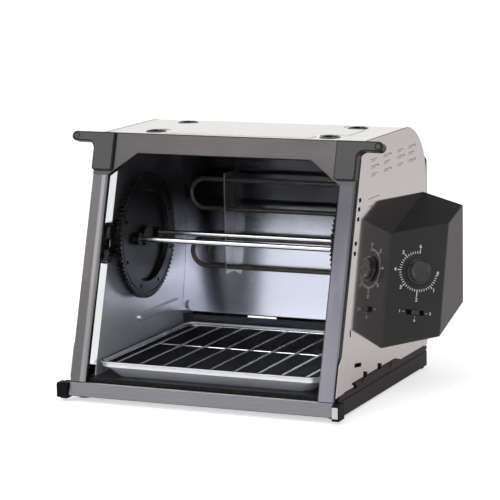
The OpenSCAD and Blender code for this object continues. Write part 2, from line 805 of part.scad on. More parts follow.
function housing_corner(inset, out, top, rear) =
  let (x = housing_x(inset, out),
       y0 = face_plane_y(x, 0, inset),
       z0 = top ? top_plane_z(x, y0, inset) : low_plane_z(x, y0, inset),
       zf = z0 / (1 - top_rise * tan(face_lean)),
       yf = face_plane_y(x, zf, inset),
       yr = rear_plane_y(x, inset),
       zr = top ? top_plane_z(x, yr, inset) : low_plane_z(x, yr, inset))
  rear ? [x, yr, zr] : [x, yf, zf];

module housing_hull(inset, r) hull()
  for (out = [false, true], top = [false, true], rear = [false, true])
    translate(housing_corner(inset + r, out, top, rear)) sphere(r = r, $fn = 16);

module control_housing() color(black) place() difference() {
  housing_hull(0, housing_edge_r);
  housing_hull(housing_wall, 0.6);
  translate([panel_x - 20, 0, 0]) cube([20, 2 * rear_y, body_h]);
  on_legend(knob_across, knob_up) rod_y(-5, 20, timer_shaft_r + 0.6);
  on_legend(switch_across, switch_up) cube([slot_w, 20, slot_h], center = true);
}

timer_r = 19;
timer_t = 22;
timer_in = housing_wall + seat_gap;

module timer_body() color("silver") place() on_legend(knob_across, knob_up) {
  difference() {
    union() {
      rod_y(timer_in, timer_t, timer_r);
      translate([0, timer_in + 1, 0]) cube([2 * timer_r + 12, 2, 10], center = true);
    }
    rod_y(timer_in - 1, timer_t, timer_shaft_r + running_gap);
  }
}

// Fluted knob with a raised pointer that lies towards the off mark at three o'clock
module timer_knob() color(dark) place() on_legend(knob_across, knob_up) difference() {
  union() {
    translate([0, -knob_lift, 0]) rotate([90, 0, 0]) rotate_extrude() polygon([
      [0, 0], [knob_r, 0], [knob_r, 1.6], [knob_r - 1.2, 2.8], [knob_r - 2, 3],
      [knob_r - 2.8, knob_h - 1.4], [knob_r - 4, knob_h], [knob_r - 6, knob_h],
      [knob_r - 7, knob_h - 0.6], [0, knob_h - 0.6]
    ]);
    translate([0, -knob_lift - knob_h - 0.6, -1.2]) cube([knob_r - 3, knob_h - 3, 2.4]);
  }
  rod_y(-knob_lift - knob_h + 3, knob_h, timer_shaft_r + 0.02);
  for (a = [20 : 20 : 340]) rotate([0, a, 0])
    translate([knob_r - 1.9, -knob_lift - 3.6, 0]) rotate([90, 0, 0])
      cylinder(r = 0.9, h = knob_h, $fn = 16);
}

module timer_shaft() color("silver") place() on_legend(knob_across, knob_up)
  rod_y(-knob_lift - knob_h + 3 + 0.1, knob_h + timer_in + 6, timer_shaft_r);

module switch_body() color(dark) place() on_legend(switch_across, switch_up)
  difference() {
    translate([0, timer_in + 8, 0]) cube([slot_w + 10, 16, slot_h + 8], center = true);
    translate([0, timer_in + 3, 0]) cube([slot_w, 8, slot_h], center = true);
  }

module switch_slider() color(dark) place() on_legend(switch_across, switch_up)
  difference() {
    union() {
      translate([0, 2, 0]) cube([slider_w, 9, slot_h - 2 * slide_gap], center = true);
      translate([0, timer_in + 4, 0])
        cube([slider_w - 2, 4, slot_h - 2 * slide_gap], center = true);
    }
    for (i = [-1 : 1]) translate([i * 2.2, -2.8, 0]) cube([0.9, 1.4, slot_h], center = true);
  }

module terminal_block() color("ivory") place()
  translate([wall_x + sheet + seat_gap, rear_y - 76, element_low - 50]) difference() {
    cube([10, 30, 16]);
    for (i = [0 : 2]) translate([0, 5 + i * 10, 8]) rod_x(-1, 12, 2);
    for (i = [0 : 1]) translate([4, 9 + i * 10, -1]) cube([8, 2, 18]);
  }

// ---------- drive ----------

module gearbox() color("silver") place() difference() {
  across(wall_x + sheet + seat_gap, box_t)
    translate([drive_y + 14, drive_z]) round_rect(58, 46, 6);
  translate([0, drive_y, drive_z]) rod_x(wall_x, 12, drive_shaft_r + running_gap);
}

module gear_motor() color("silver") place() translate([0, motor_y, drive_z]) {
  x = wall_x + sheet + 2 * seat_gap + box_t;
  rod_x(x, motor_len, motor_r);
  rod_x(x + motor_len - eps, 2, 6);
}

module drive_bushing() color("goldenrod") place() translate([0, drive_y, drive_z]) rotate([0, 90, 0])
  rotate_extrude() polygon([
    [drive_shaft_r + running_gap, wall_x - bushing_in], [drive_shaft_r + 5, wall_x - bushing_in],
    [drive_shaft_r + 5, wall_x - seat_gap], [drive_shaft_r + 3, wall_x - seat_gap],
    [drive_shaft_r + 3, wall_x + sheet], [drive_shaft_r + running_gap, wall_x + sheet]
  ]);

// Involute gear outline
function roll_angle(r, rb) = let (a = acos(min(1, rb / r))) tan(a) * 180 / PI - a;
function flank_angle(r, rp, rb, half) = half + roll_angle(rp, rb) - roll_angle(max(r, rb), rb);

module gear_outline(teeth, add, ded) {
  rp = gear_module * teeth / 2;
  rb = rp * cos(20);
  tip = rp + add * gear_module;
  root = rp - ded * gear_module;
  half = 90 / teeth - 0.14 / rp * 180 / PI;
  start = max(root, rb);
  radii = [root, start, (start + rp) / 2, rp, (rp + tip) / 2, tip];
  n = len(radii) - 1;
  polygon([
    for (i = [0 : teeth - 1], k = [0 : 2 * n + 1])
      let (j = k <= n ? k : 2 * n + 1 - k,
           s = k <= n ? -1 : 1,
           a = i * 360 / teeth + s * flank_angle(radii[j], rp, rb, half))
      if (!(j == 0 && root >= rb)) radii[j] * [cos(a), sin(a)]
  ]);
}

kebab_ring = wheel_pitch_r - 13;
rim_in = wheel_pitch_r - 20;

// Spit wheel about the Z axis: wall side at z = 0, food side up
module spit_wheel() difference() {
  union() {
    difference() {
      rotate([0, 0, 90 - drive_angle]) linear_extrude(wheel_t)
        gear_outline(wheel_teeth, wheel_addendum, 1.15);
      translate([0, 0, web_t]) cylinder(r1 = rim_in - 3, r2 = rim_in, h = wheel_t, $fn = 96);
      translate([0, 0, wheel_t - 1.2]) difference() {
        cylinder(r = wheel_pitch_r - 5, h = 2, $fn = 96);
        cylinder(r = wheel_pitch_r - 7, h = 2, $fn = 96);
      }
    }
    cylinder(r = hub_r + 6, h = wheel_t);
    translate([0, 0, -hub_len]) cylinder(r = hub_r, h = hub_len + eps);
    for (s = [-1, 1]) translate([0, s * rod_pitch / 2, 0])
      cylinder(r = rod_d / 2 + 4.5, h = wheel_t + 3);
  }
  for (s = [-1, 1]) translate([0, s * rod_pitch / 2, -1])
    cylinder(r = rod_d / 2 + 0.02, h = wheel_t + 6);
  for (a = [22.5 : 45 : 360]) rotate([0, 0, a]) translate([kebab_ring, 0, -1])
    cylinder(r = 2.6, h = wheel_t + 2);
}

module left_wheel_place() translate([-wall_x + wheel_gap, spit_y, spit_z]) rotate([0, 90, 0]) children();

module spit_wheel_left() color(dark) place() left_wheel_place() spit_wheel();
module spit_wheel_right() color(dark) place() mirror([1, 0, 0]) left_wheel_place() spit_wheel();

module spit_rod(y) translate([0, spit_y + y, spit_z]) {
  half = wall_x - wheel_gap;
  rod_x(-half, 2 * half - 2, rod_d / 2);
  translate([half - 2 - eps, 0, 0]) rotate([0, 90, 0])
    cylinder(r1 = rod_d / 2, r2 = rod_d / 2 - 1.4, h = 2);
}
module spit_rod_front() color("silver") place() spit_rod(-rod_pitch / 2);
module spit_rod_rear() color("silver") place() spit_rod(rod_pitch / 2);

module drive_gear() color("silver") place()
  translate([wall_x - drive_gear_in - drive_gear_w, drive_y, drive_z]) rotate([0, 90, 0]) difference() {
    union() {
      rotate([0, 0, 270 - drive_angle + 180 / drive_teeth])
        linear_extrude(drive_gear_w) gear_outline(drive_teeth, 0.95, 1.05);
      translate([0, 0, -2]) cylinder(r = drive_shaft_r + 3, h = 3);
    }
    translate([0, 0, -3]) cylinder(r = drive_shaft_r + 0.02, h = drive_gear_w + 6);
  }

module drive_shaft() color("silver") place() translate([0, drive_y, drive_z])
  rod_x(wall_x - drive_gear_in - drive_gear_w - 3, drive_gear_in + drive_gear_w + 3 + 11, drive_shaft_r);

// ---------- door ----------

module door_window() polygon([
  [-window_x, bottom_rail_h], [window_x, bottom_rail_h], [window_x, corner_low],
  [window_x - corner_cut_w, window_top], [-window_x + corner_cut_w, window_top],
  [-window_x, corner_low]
]);

module door_top_rail() color(frame_grey) place() on_door() {
  difference() {
    along(0, rail_t) difference() {
      translate([-door_x, corner_low]) square([door_w, door_h - corner_low]);
      door_window();
    }
    // long bevel on the upper edge
    translate([-door_x - 1, 0, door_h]) rotate([45, 0, 0])
      translate([0, -1, -1]) cube([door_w + 2, 2, 2]);
    handle_screw_holes();
  }
}

// Upright frame bar for the right side, with a bright bevel along the glass
module door_stile() on_door() translate([0, 0, bottom_rail_h]) linear_extrude(corner_low - bottom_rail_h)
  polygon([
    [window_x, rail_t], [window_x, 2], [window_x + 1.6, 0.4], [window_x + 2.4, 0],
    [door_x - 1, 0], [door_x, 1], [door_x, rail_t]
  ]);

module door_stile_left() color(frame_grey) place() mirror([1, 0, 0]) door_stile();
module door_stile_right() color(frame_grey) place() door_stile();

bottom_core = 14;

module door_bottom_rail() color(frame_grey) place() difference() {
  on_door() across(-door_x, door_w) polygon([
    [0, 0.8], [0.8, 0], [door_t - 1, 0], [door_t, 1], [door_t, bottom_core],
    [rail_t, bottom_core], [rail_t, bottom_rail_h], [2, bottom_rail_h], [0, bottom_rail_h - 1.4]
  ]);
  translate([0, hinge_y, hinge_z]) both_sides()
    rod_x(door_x - 12, 20, hinge_r + 0.02);
}

glass_lap = 8;

module glass_2d(grow) polygon([
  [-window_x - grow, bottom_core + 1 - grow + glass_lap],
  [window_x + grow, bottom_core + 1 - grow + glass_lap],
  [window_x + grow, window_top + grow], [-window_x - grow, window_top + grow]
]);

module door_back_frame() color(dark) place() on_door() difference() {
  along(rail_t, back_t) difference() {
    translate([-door_x, bottom_core]) square([door_w, door_h - bottom_core - 1]);
    door_window();
  }
  along(rail_t - 1, glass_t + 1 + 0.5) glass_2d(glass_lap - 1);
  both_sides() for (p = handle_screw_places())
    translate([p[0], 0, p[1]]) rod_y(door_t - pocket_h, 10, screw_r + 0.4);
  handle_screw_holes();
}

module door_glass() color([0.75, 0.8, 0.82, 0.25]) place() on_door()
  along(rail_t, glass_t) glass_2d(glass_lap - 1 - seat_gap);

module glass_gasket() color(rubber) place() on_door() along(rail_t + glass_t, 0.5) difference() {
  glass_2d(glass_lap - 1 - seat_gap);
  door_window();
}

handle_wall = 1.3;
handle_drop = 0.6;
end_ring_r = 4.4;
pocket_h = screw_r * 0.6 + 0.6;
handle_bite = 2.4;
function handle_screw_places() = [
  for (z = [door_h - handle_block_h + 12, door_h - 12]) [door_x - 10, z]
];

// Ear-shaped handle for the right side, rounded ends, drawn in by inset
module handle_2d(inset) {
  x0 = door_x - handle_block_w + inset;
  x1 = door_x + handle_wall - inset;
  top = door_h - handle_drop - inset;
  low = top + inset - handle_block_h + inset;
  bar_low = top + inset - handle_bar_h + inset;
  bar_r = (top - bar_low) / 2;
  fillet = 10;
  r = 4;
  translate([x0, low + r]) square([x1 - x0, top - low - r]);
  translate([x0 + r, low]) square([x1 - x0 - 2 * r, r + eps]);
  for (x = [x0 + r, x1 - r]) translate([x, low + r]) circle(r = r);
  translate([x1 - eps, bar_low]) square([handle_x - bar_r - inset - x1 + eps, 2 * bar_r]);
  translate([handle_x - bar_r - inset, bar_low + bar_r]) circle(r = bar_r);
  difference() {
    translate([x1 - eps, bar_low - fillet]) square(fillet + eps);
    translate([x1 + fillet, bar_low - fillet]) circle(r = fillet);
  }
}

module handle() on_door() {
  difference() {
    along(-handle_proud, handle_proud + door_t) handle_2d(0);
    // seat for the door corner
    translate([door_x - 100, 0, 0]) cube([100, door_t + 1, door_h]);
    handle_screw_holes();
  }
  difference() {
    along(-handle_proud - 1, 1 + eps) handle_2d(1.4);
    // ring let into the rounded end of the bar
    translate([handle_x - handle_bar_h / 2, 0, door_h - handle_drop - handle_bar_h / 2]) difference() {
      rod_y(-handle_proud - 2, 1.6, end_ring_r);
      rod_y(-handle_proud - 3, 4, end_ring_r - 1.1);
    }
  }
}

module handle_left() color(black) place() mirror([1, 0, 0]) handle();
module handle_right() color(black) place() handle();

// Heads sunk in the back frame, shanks through the door into the handles
module handle_screws() color(steel) place() both_sides() on_door() for (p = handle_screw_places())
  translate([p[0], door_t - pocket_h, p[1]]) rotate([-90, 0, 0]) screw(door_t - pocket_h + handle_bite);

module handle_screw_holes() both_sides() for (p = handle_screw_places())
  translate([p[0], door_t - pocket_h, p[1]]) rotate([-90, 0, 0])
    screw_hole(door_t - pocket_h + handle_bite);

module hinge_pins() color("silver") place() both_sides() translate([0, hinge_y, hinge_z])
  rod_x(door_x - 12 + 0.2, 12 + block_x - door_x + block_w - 2.2, hinge_r);

// Pads between the top of the closed door and the lip of the outer wrap
module door_bumpers() color(rubber) place() both_sides() on_door()
  for (x = [window_x - corner_cut_w, (window_x - corner_cut_w) / 2])
    translate([x, door_t, up_slope(body_h - wrap_lip / 2)]) rod_y(0, body_back + 1 - door_t - seat_gap, 3);

// ---------- tray and grate ----------

// A rounded pan blank: rim at the top, walls leaning in towards the floor
module pan_blank(w, d, h, lean) hull() {
  for (sx = [-1, 1], sy = [-1, 1])
    translate([sx * (w / 2 - tray_r), sy * (d / 2 - tray_r), 0])
      translate([-sx * lean, -sy * lean, 0]) cylinder(r = tray_r, h = 0.1, $fn = 24);
  for (sx = [-1, 1], sy = [-1, 1])
    translate([sx * (w / 2 - tray_r), sy * (d / 2 - tray_r), h - 0.1])
      cylinder(r = tray_r, h = 0.1, $fn = 24);
}

module drip_tray() color(steel) place()
  translate([0, tray_front + tray_d / 2, floor_z + slide_gap / 2]) {
    step_z = tray_h - tray_step_down;
    w = tray_w - 4;
    d = tray_d - 4;
    in_w = w - 2 * tray_step;
    in_d = d - 2 * tray_step;
    difference() {
      union() {
        pan_blank(in_w + 2 * tray_t, in_d + 2 * tray_t, step_z, tray_draft);
        translate([0, 0, step_z - tray_t]) linear_extrude(tray_h - step_z + tray_t)
          round_rect(w, d, tray_r);
        translate([0, 0, tray_h - tray_t]) linear_extrude(tray_t) round_rect(tray_w, tray_d, tray_r + 2);
      }
      translate([0, 0, tray_t]) pan_blank(in_w, in_d, step_z, tray_draft);
      translate([0, 0, step_z]) linear_extrude(tray_h)
        round_rect(w - 2 * tray_t, d - 2 * tray_t, tray_r - tray_t);
    }
  }

// Welded wire grate that lies on the step inside the tray
module grate() color("silver") place() translate([0, tray_front + tray_d / 2, grate_z]) {
  r = border_wire_d / 2;
  w = tray_w - 4 - 2 * tray_t - 2 * r - 2 * slide_gap;
  d = tray_d - 4 - 2 * tray_t - 2 * r - 2 * slide_gap;
  for (s = [-1, 1]) {
    translate([0, s * d / 2, 0]) rod_x(-w / 2 + grate_r, w - 2 * grate_r, r);
    translate([s * w / 2, 0, 0]) rod_y(-d / 2 + grate_r, d - 2 * grate_r, r);
  }
  for (sx = [0, 1], sy = [0, 1]) mirror([sx, 0, 0]) mirror([0, sy, 0])
    translate([w / 2 - grate_r, d / 2 - grate_r, 0]) rotate_extrude(angle = 90)
      translate([grate_r, 0]) circle(r = r);
  pitch = (w - 2 * grate_r) / (bar_count - 1);
  for (i = [0 : bar_count - 1])
    translate([-w / 2 + grate_r + i * pitch, 0, 0]) rod_y(-d / 2, d, bar_wire_d / 2);
  translate([0, 12, -bar_wire_d + 0.4])
    rod_x(-w / 2 + grate_r - bar_wire_d, w - 2 * (grate_r - bar_wire_d), bar_wire_d / 2);
  // lifting loop at the left
  translate([-w / 2, d / 4, 0]) {
    for (s = [-1, 1]) translate([0, s * loop_w / 2, 0]) cylinder(r = bar_wire_d / 2, h = loop_h);
    translate([0, 0, loop_h]) rod_y(-loop_w / 2 - bar_wire_d / 2, loop_w + bar_wire_d, bar_wire_d / 2);
  }
}

// ---------- small fasteners ----------

module side_panel_screws() color(steel) place() both_sides() at_panel_screws() screw(base_out + sheet + 2);

module rear_cover_screws() color(steel) place() at_rear_screws() screw(cover_t + sheet + 2);

module base_screws() color(steel) place() at_base_screws() screw(base_bite);

base_tray();
rubber_feet();
outer_wrap();
top_rest_cups();
rear_cover();
cord_gland();
side_panel_left();
side_panel_right();
inner_wall_left();
inner_wall_right();
inner_roof();
inner_floor();
front_sill();
rear_reflector();
heating_element();
element_clips();
element_terminals();
thermal_cutout();
wheel_rest_left();
wheel_rest_right();
hinge_block_left();
hinge_block_right();
hinge_cap();
hinge_plate();
control_housing();
timer_body();
switch_body();
terminal_block();
gearbox();
gear_motor();
drive_bushing();
side_panel_screws();
rear_cover_screws();
base_screws();
door_top_rail();
door_stile_left();
door_stile_right();
door_bottom_rail();
door_back_frame();
door_glass();
glass_gasket();
handle_left();
handle_right();
handle_screws();
hinge_pins();
door_bumpers();
spit_wheel_left();
spit_wheel_right();
spit_rod_front();
spit_rod_rear();
drive_gear();
drive_shaft();
timer_knob();
timer_shaft();
switch_slider();
drip_tray();
grate();
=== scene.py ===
# Looks of the countertop rotisserie oven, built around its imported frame.
import json
import math

import bmesh
import bpy
from mathutils import Matrix, Vector


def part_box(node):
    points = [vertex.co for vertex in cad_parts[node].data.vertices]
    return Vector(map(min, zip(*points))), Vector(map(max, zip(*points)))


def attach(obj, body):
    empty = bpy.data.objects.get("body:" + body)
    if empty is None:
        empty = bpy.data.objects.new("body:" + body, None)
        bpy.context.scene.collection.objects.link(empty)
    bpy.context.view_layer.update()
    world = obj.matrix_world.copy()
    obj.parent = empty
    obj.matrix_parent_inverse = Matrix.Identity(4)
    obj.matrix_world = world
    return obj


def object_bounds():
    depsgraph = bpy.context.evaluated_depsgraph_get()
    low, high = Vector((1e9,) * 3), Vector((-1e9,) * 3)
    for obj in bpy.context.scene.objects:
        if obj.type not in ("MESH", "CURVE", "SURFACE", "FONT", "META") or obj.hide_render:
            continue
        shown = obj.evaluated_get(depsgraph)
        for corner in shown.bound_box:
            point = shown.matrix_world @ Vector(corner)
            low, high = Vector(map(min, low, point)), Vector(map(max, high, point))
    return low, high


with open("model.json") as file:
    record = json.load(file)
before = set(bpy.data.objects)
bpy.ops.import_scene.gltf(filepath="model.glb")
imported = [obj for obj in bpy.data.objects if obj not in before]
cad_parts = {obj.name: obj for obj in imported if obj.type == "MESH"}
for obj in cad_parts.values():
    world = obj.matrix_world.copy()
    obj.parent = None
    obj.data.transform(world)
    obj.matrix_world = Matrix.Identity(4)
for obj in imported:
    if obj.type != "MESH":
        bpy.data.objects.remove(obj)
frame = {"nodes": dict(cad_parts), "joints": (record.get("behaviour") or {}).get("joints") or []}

cad_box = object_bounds()
scene = bpy.context.scene
scene.view_settings.view_transform = "Standard"
nodes = frame["nodes"]
joints = {j["name"]: j for j in frame["joints"]}


# ---------- camera ----------

CAMERA_AT = (1.21765, -2.77795, 0.7007)
CAMERA_YAW, CAMERA_PITCH, CAMERA_ROLL = -23.92, -9.77, -1.05
CAMERA_LENS = 170.4


def make_camera():
    """A long lens in front of the oven on the right; yaw counts from +Y, and pitch from level."""
    data = bpy.data.cameras.new("camera")
    data.sensor_width = 36
    data.lens = CAMERA_LENS
    data.clip_start, data.clip_end = 0.05, 60
    cam = bpy.data.objects.new("camera", data)
    scene.collection.objects.link(cam)
    yaw, pitch, roll = (math.radians(a) for a in (CAMERA_YAW, CAMERA_PITCH, CAMERA_ROLL))
    forward = Vector((math.sin(yaw) * math.cos(pitch), math.cos(yaw) * math.cos(pitch), math.sin(pitch)))
    right = forward.cross(Vector((0, 0, 1))).normalized()
    up = right.cross(forward)
    x = right * math.cos(roll) + up * math.sin(roll)
    y = up * math.cos(roll) - right * math.sin(roll)
    turn = Matrix((x, y, -forward)).transposed().to_4x4()
    cam.matrix_world = Matrix.Translation(CAMERA_AT) @ turn
    scene.camera = cam


make_camera()


# ---------- light, floor and background ----------

class Graph:
    """Short ways to add and join the nodes of one material or world."""

    def __init__(self, tree):
        self.nt = tree
        self.nt.nodes.clear()

    def add(self, kind, **settings):
        n = self.nt.nodes.new(kind)
        for k, v in settings.items():
            setattr(n, k, v)
        return n

    def link(self, a, b):
        self.nt.links.new(a, b)

    def feed(self, socket, v):
        if isinstance(v, (int, float)):
            socket.default_value = v
        elif isinstance(v, (tuple, list)):
            socket.default_value = (*v, 1) if len(v) == 3 and socket.type == "RGBA" else v
        else:
            self.link(v, socket)

    def math(self, kind, a, b):
        n = self.add("ShaderNodeMath", operation=kind)
        self.feed(n.inputs[0], a)
        self.feed(n.inputs[1], b)
        return n.outputs[0]

    def between(self, fac, low, high, a=0.0, b=1.0):
        """fac from low..high becomes a..b, held at both ends."""
        n = self.add("ShaderNodeMapRange")
        for name, v in (("From Min", low), ("From Max", high), ("To Min", a), ("To Max", b), ("Value", fac)):
            self.feed(n.inputs[name], v)
        return n.outputs["Result"]

    def mix(self, fac, a, b):
        n = self.add("ShaderNodeMix", data_type="RGBA")
        self.feed(n.inputs["Factor"], fac)
        ins = [k for k in n.inputs if k.type == "RGBA"]
        self.feed(ins[0], a)
        self.feed(ins[1], b)
        return [k for k in n.outputs if k.type == "RGBA"][0]

    def mix_shader(self, fac, a, b):
        n = self.add("ShaderNodeMixShader")
        self.feed(n.inputs[0], fac)
        self.link(a, n.inputs[1])
        self.link(b, n.inputs[2])
        return n.outputs[0]

    def emission(self, colour, strength):
        n = self.add("ShaderNodeEmission")
        self.feed(n.inputs["Color"], colour)
        self.feed(n.inputs["Strength"], strength)
        return n.outputs[0]

    def xyz(self, vector):
        n = self.add("ShaderNodeSeparateXYZ")
        self.link(vector, n.inputs[0])
        return n.outputs


def make_world():
    """White to the camera, an even level on rough surfaces; polished ones also see a dark band high up
    and a darker corner in front on the right."""
    world = bpy.data.worlds.new("studio")
    scene.world = world
    world.use_nodes = True
    g = Graph(world.node_tree)
    out = g.add("ShaderNodeOutputWorld")
    path = g.add("ShaderNodeLightPath").outputs
    seen = g.math("MAXIMUM", path["Is Camera Ray"], path["Is Transmission Ray"])
    x, y, z = g.xyz(g.add("ShaderNodeTexCoord").outputs["Generated"])
    ceiling = g.math("ADD", g.between(z, 0.30, 0.62, 1.0, 0.10), g.between(z, 0.78, 0.95, 0.0, 0.75))
    corner = g.math("MULTIPLY", g.between(y, -0.1, -0.5), g.between(x, -0.30, 0.35, 0.0, 0.3))
    mirrored = g.math("MULTIPLY", ceiling, g.math("SUBTRACT", 1.0, corner))
    level = g.math("ADD", g.math("MULTIPLY", path["Is Glossy Ray"], mirrored),
                   g.math("MULTIPLY", g.math("SUBTRACT", 1.0, path["Is Glossy Ray"]), 0.5))
    strength = g.math("MAXIMUM", seen, level)
    sky = g.add("ShaderNodeBackground")
    g.feed(sky.inputs["Color"], (1, 1, 1))
    g.feed(sky.inputs["Strength"], strength)
    g.link(sky.outputs[0], out.inputs["Surface"])


def softbox(name, place, aim, width, height, power):
    """A rectangular lamp of so many metres and watts, turned to the point aim."""
    data = bpy.data.lights.new(name, "AREA")
    data.shape = "RECTANGLE"
    data.size, data.size_y = width, height
    data.energy = power
    lamp = bpy.data.objects.new(name, data)
    scene.collection.objects.link(lamp)
    lamp.location = place
    lamp.rotation_mode = "QUATERNION"
    lamp.rotation_quaternion = (Vector(aim) - Vector(place)).to_track_quat("-Z", "Y")


FLOOR_REACH = 30
FLOOR_GAP = 0.0002


def make_floor():
    """White paper under the feet that keeps the shadow and ends in the white background."""
    r = FLOOR_REACH
    mesh = bpy.data.meshes.new("floor")
    mesh.from_pydata([(-r, -r, 0), (r, -r, 0), (r, r, 0), (-r, r, 0)], [], [(0, 1, 2, 3)])
    floor = bpy.data.objects.new("floor", mesh)
    scene.collection.objects.link(floor)
    floor.location.z = cad_box[0].z - FLOOR_GAP
    m = bpy.data.materials.new("floor_paper")
    m.use_nodes = True
    g = Graph(m.node_tree)
    out = g.add("ShaderNodeOutputMaterial")
    diffuse = g.add("ShaderNodeBsdfDiffuse")
    g.feed(diffuse.inputs["Color"], (0.82, 0.815, 0.81))
    path = g.add("ShaderNodeLightPath").outputs
    seen = g.math("MAXIMUM", path["Is Camera Ray"], path["Is Transmission Ray"])
    glow = g.math("MAXIMUM", g.math("MULTIPLY", seen, 0.60), g.math("MULTIPLY", path["Is Glossy Ray"], 0.25))
    add = g.add("ShaderNodeAddShader")
    g.link(diffuse.outputs[0], add.inputs[0])
    g.link(g.emission((1, 1, 1), glow), add.inputs[1])
    g.link(add.outputs[0], out.inputs["Surface"])
    mesh.materials.append(m)


make_world()
make_floor()
softbox("key_light", (-1.3, -2.1, 2.3), (0, 0, 0.15), 1.8, 1.8, 27)
softbox("back_right_light", (2.9, 1.6, 1.0), (0, 0, 0.15), 1.6, 1.2, 15)
softbox("front_fill", (0.7, -3.2, 0.5), (0, 0, 0.1), 1.6, 0.8, 9)
softbox("top_light", (-0.4, -0.3, 2.7), (0, 0, 0.2), 2.0, 1.4, 7)


# ---------- materials ----------

class Nodes(Graph):
    """The nodes of one material of the object."""

    def __init__(self, name):
        self.m = bpy.data.materials.new(name)
        self.m.use_nodes = True
        super().__init__(self.m.node_tree)
        self.out = self.add("ShaderNodeOutputMaterial")
        self.bsdf = self.add("ShaderNodeBsdfPrincipled")
        self.link(self.bsdf.outputs[0], self.out.inputs["Surface"])
        place = self.add("ShaderNodeTexCoord").outputs
        self.coord, self.facing = place["Object"], place["Normal"]

    def noise(self, scale, detail=4.0, rough=0.6, stretch=(1, 1, 1)):
        at = self.add("ShaderNodeMapping")
        at.inputs["Scale"].default_value = stretch
        self.link(self.coord, at.inputs["Vector"])
        n = self.add("ShaderNodeTexNoise")
        n.inputs["Scale"].default_value = scale
        n.inputs["Detail"].default_value = detail
        n.inputs["Roughness"].default_value = rough
        self.link(at.outputs[0], n.inputs["Vector"])
        return n.outputs["Fac"]

    def dot(self, a, b):
        """Scalar product of two vectors."""
        n = self.add("ShaderNodeVectorMath", operation="DOT_PRODUCT")
        self.feed(n.inputs[0], a)
        self.feed(n.inputs[1], b)
        return n.outputs["Value"]

    def bevel(self, radius):
        n = self.add("ShaderNodeBevel", samples=4)
        n.inputs["Radius"].default_value = radius
        return n.outputs[0]

    def edge(self, radius):
        """1 on a sharp edge, 0 on a flat face."""
        flat = self.add("ShaderNodeNewGeometry").outputs["Normal"]
        return self.between(self.dot(self.bevel(radius), flat), 0.995, 0.85)

    def bump(self, height, strength, distance, normal=None):
        n = self.add("ShaderNodeBump")
        n.inputs["Strength"].default_value = strength
        n.inputs["Distance"].default_value = distance
        self.link(height, n.inputs["Height"])
        if normal is not None:
            self.link(normal, n.inputs["Normal"])
        return n.outputs[0]

    def set(self, **values):
        for k, v in values.items():
            self.feed(self.bsdf.inputs[k.replace("_", " ")], v)


def shade(colour, share):
    return tuple(c * share for c in colour)


def mottled(n, fac, colour, spread):
    """The colour, a little darker and lighter by turns."""
    return n.mix(fac, shade(colour, 1 - spread), shade(colour, 1 + spread))


# darkest and palest colour of the painted shade towards the top of the cavity and reflector, with some
# darkening from heat and smoke
SMOKE_SHADE_DARK, SMOKE_SHADE_PALE = (0.016, 0.016, 0.019), (0.03, 0.03, 0.035)
GRAIN_SCALE = 900


def metal(name, colour, rough, stretch=(1, 1, 1), grain=0.10, smear=0.06, round_edge=0.0005,
          anisotropic=0.0, bump=0.05, wear_and_highlight=1.35, metallic=1.0, tint=None, smoke_and_shade=None):
    """Sheet or wire: grain along the direction in which stretch is small, smears, and paler edges, which are
    rubbed wear where the brightening is slight and a painted highlight where it is strong.
    Between the pair of heights given for smoke and shade, the metal gets darker towards the top: painted
    shade, with some darkening from heat and smoke.
    tint is a mask made from the nodes and the colour that it lays over the rest; a third value makes the
    tinted part bare metal whose roughness is that share of the rest's."""
    n = Nodes(name)
    fine = n.noise(1.0, 3, 0.7, shade(stretch, GRAIN_SCALE))
    broad = n.noise(9.0, 3, 0.5)
    tone = mottled(n, fine, colour, grain)
    if smoke_and_shade:
        height = n.math("ADD", n.xyz(n.coord)[2], n.between(broad, 0.2, 0.8, -0.012, 0.012))
        tone = n.mix(n.between(height, smoke_and_shade[0], smoke_and_shade[1]), tone, n.mix(fine, SMOKE_SHADE_DARK, SMOKE_SHADE_PALE))
    if tint:
        tone = n.mix(tint[0](n), tone, mottled(n, fine, tint[1], grain))
    tone = n.mix(n.between(broad, 0.3, 0.7, 0.0, smear * 2), tone, shade(colour, 0.6))
    tone = n.mix(n.math("MULTIPLY", n.edge(round_edge * 1.2), 0.45), tone, shade(colour, wear_and_highlight))
    n.set(Base_Color=tone, Metallic=metallic, Anisotropic=anisotropic)
    patchy = n.between(broad, 0.25, 0.75, rough * 0.9, rough * 1.15)
    level = n.math("ADD", patchy, n.between(fine, 0.2, 0.8, -0.02, 0.04))
    if tint and len(tint) > 2:
        level = n.math("MULTIPLY", level, n.between(tint[0](n), 0, 1, 1, tint[2]))
        n.set(Metallic=n.between(tint[0](n), 0, 1, metallic, 1.0))
    n.set(Roughness=level, Normal=n.bump(fine, bump, 0.00004, n.bevel(round_edge)))
    return n.m


def plastic(name, colour, rough, grain_scale=1400.0, grain=0.12, depth=0.00006, round_edge=0.0008, coat=0.0,
            wear_and_highlight=1.5, spread=0.10, shine=0.3, tints=()):
    """Moulded plastic or enamel: fine spark-eroded grain, slight mottling, paler edges, which are rubbed wear
    where the brightening is slight and a painted highlight where it is strong.
    tints are pairs: a mask made from the nodes, and the colour that it lays over the rest."""
    n = Nodes(name)
    fine = n.noise(grain_scale, 2, 0.5)
    broad = n.noise(14.0, 4, 0.55)
    tone = mottled(n, n.between(broad, 0.3, 0.7), colour, spread)
    for mask, other in tints:
        tone = n.mix(mask(n), tone, mottled(n, broad, other, spread))
    tone = n.mix(n.math("MULTIPLY", n.edge(round_edge), 0.5), tone, shade(colour, wear_and_highlight))
    n.set(Base_Color=tone, Coat_Weight=coat, Coat_Roughness=0.08, Specular_IOR_Level=shine)
    n.set(Roughness=n.between(broad, 0.25, 0.75, rough * 0.92, rough * 1.1))
    n.set(Normal=n.bump(fine, grain, depth, n.bevel(round_edge)))
    return n.m


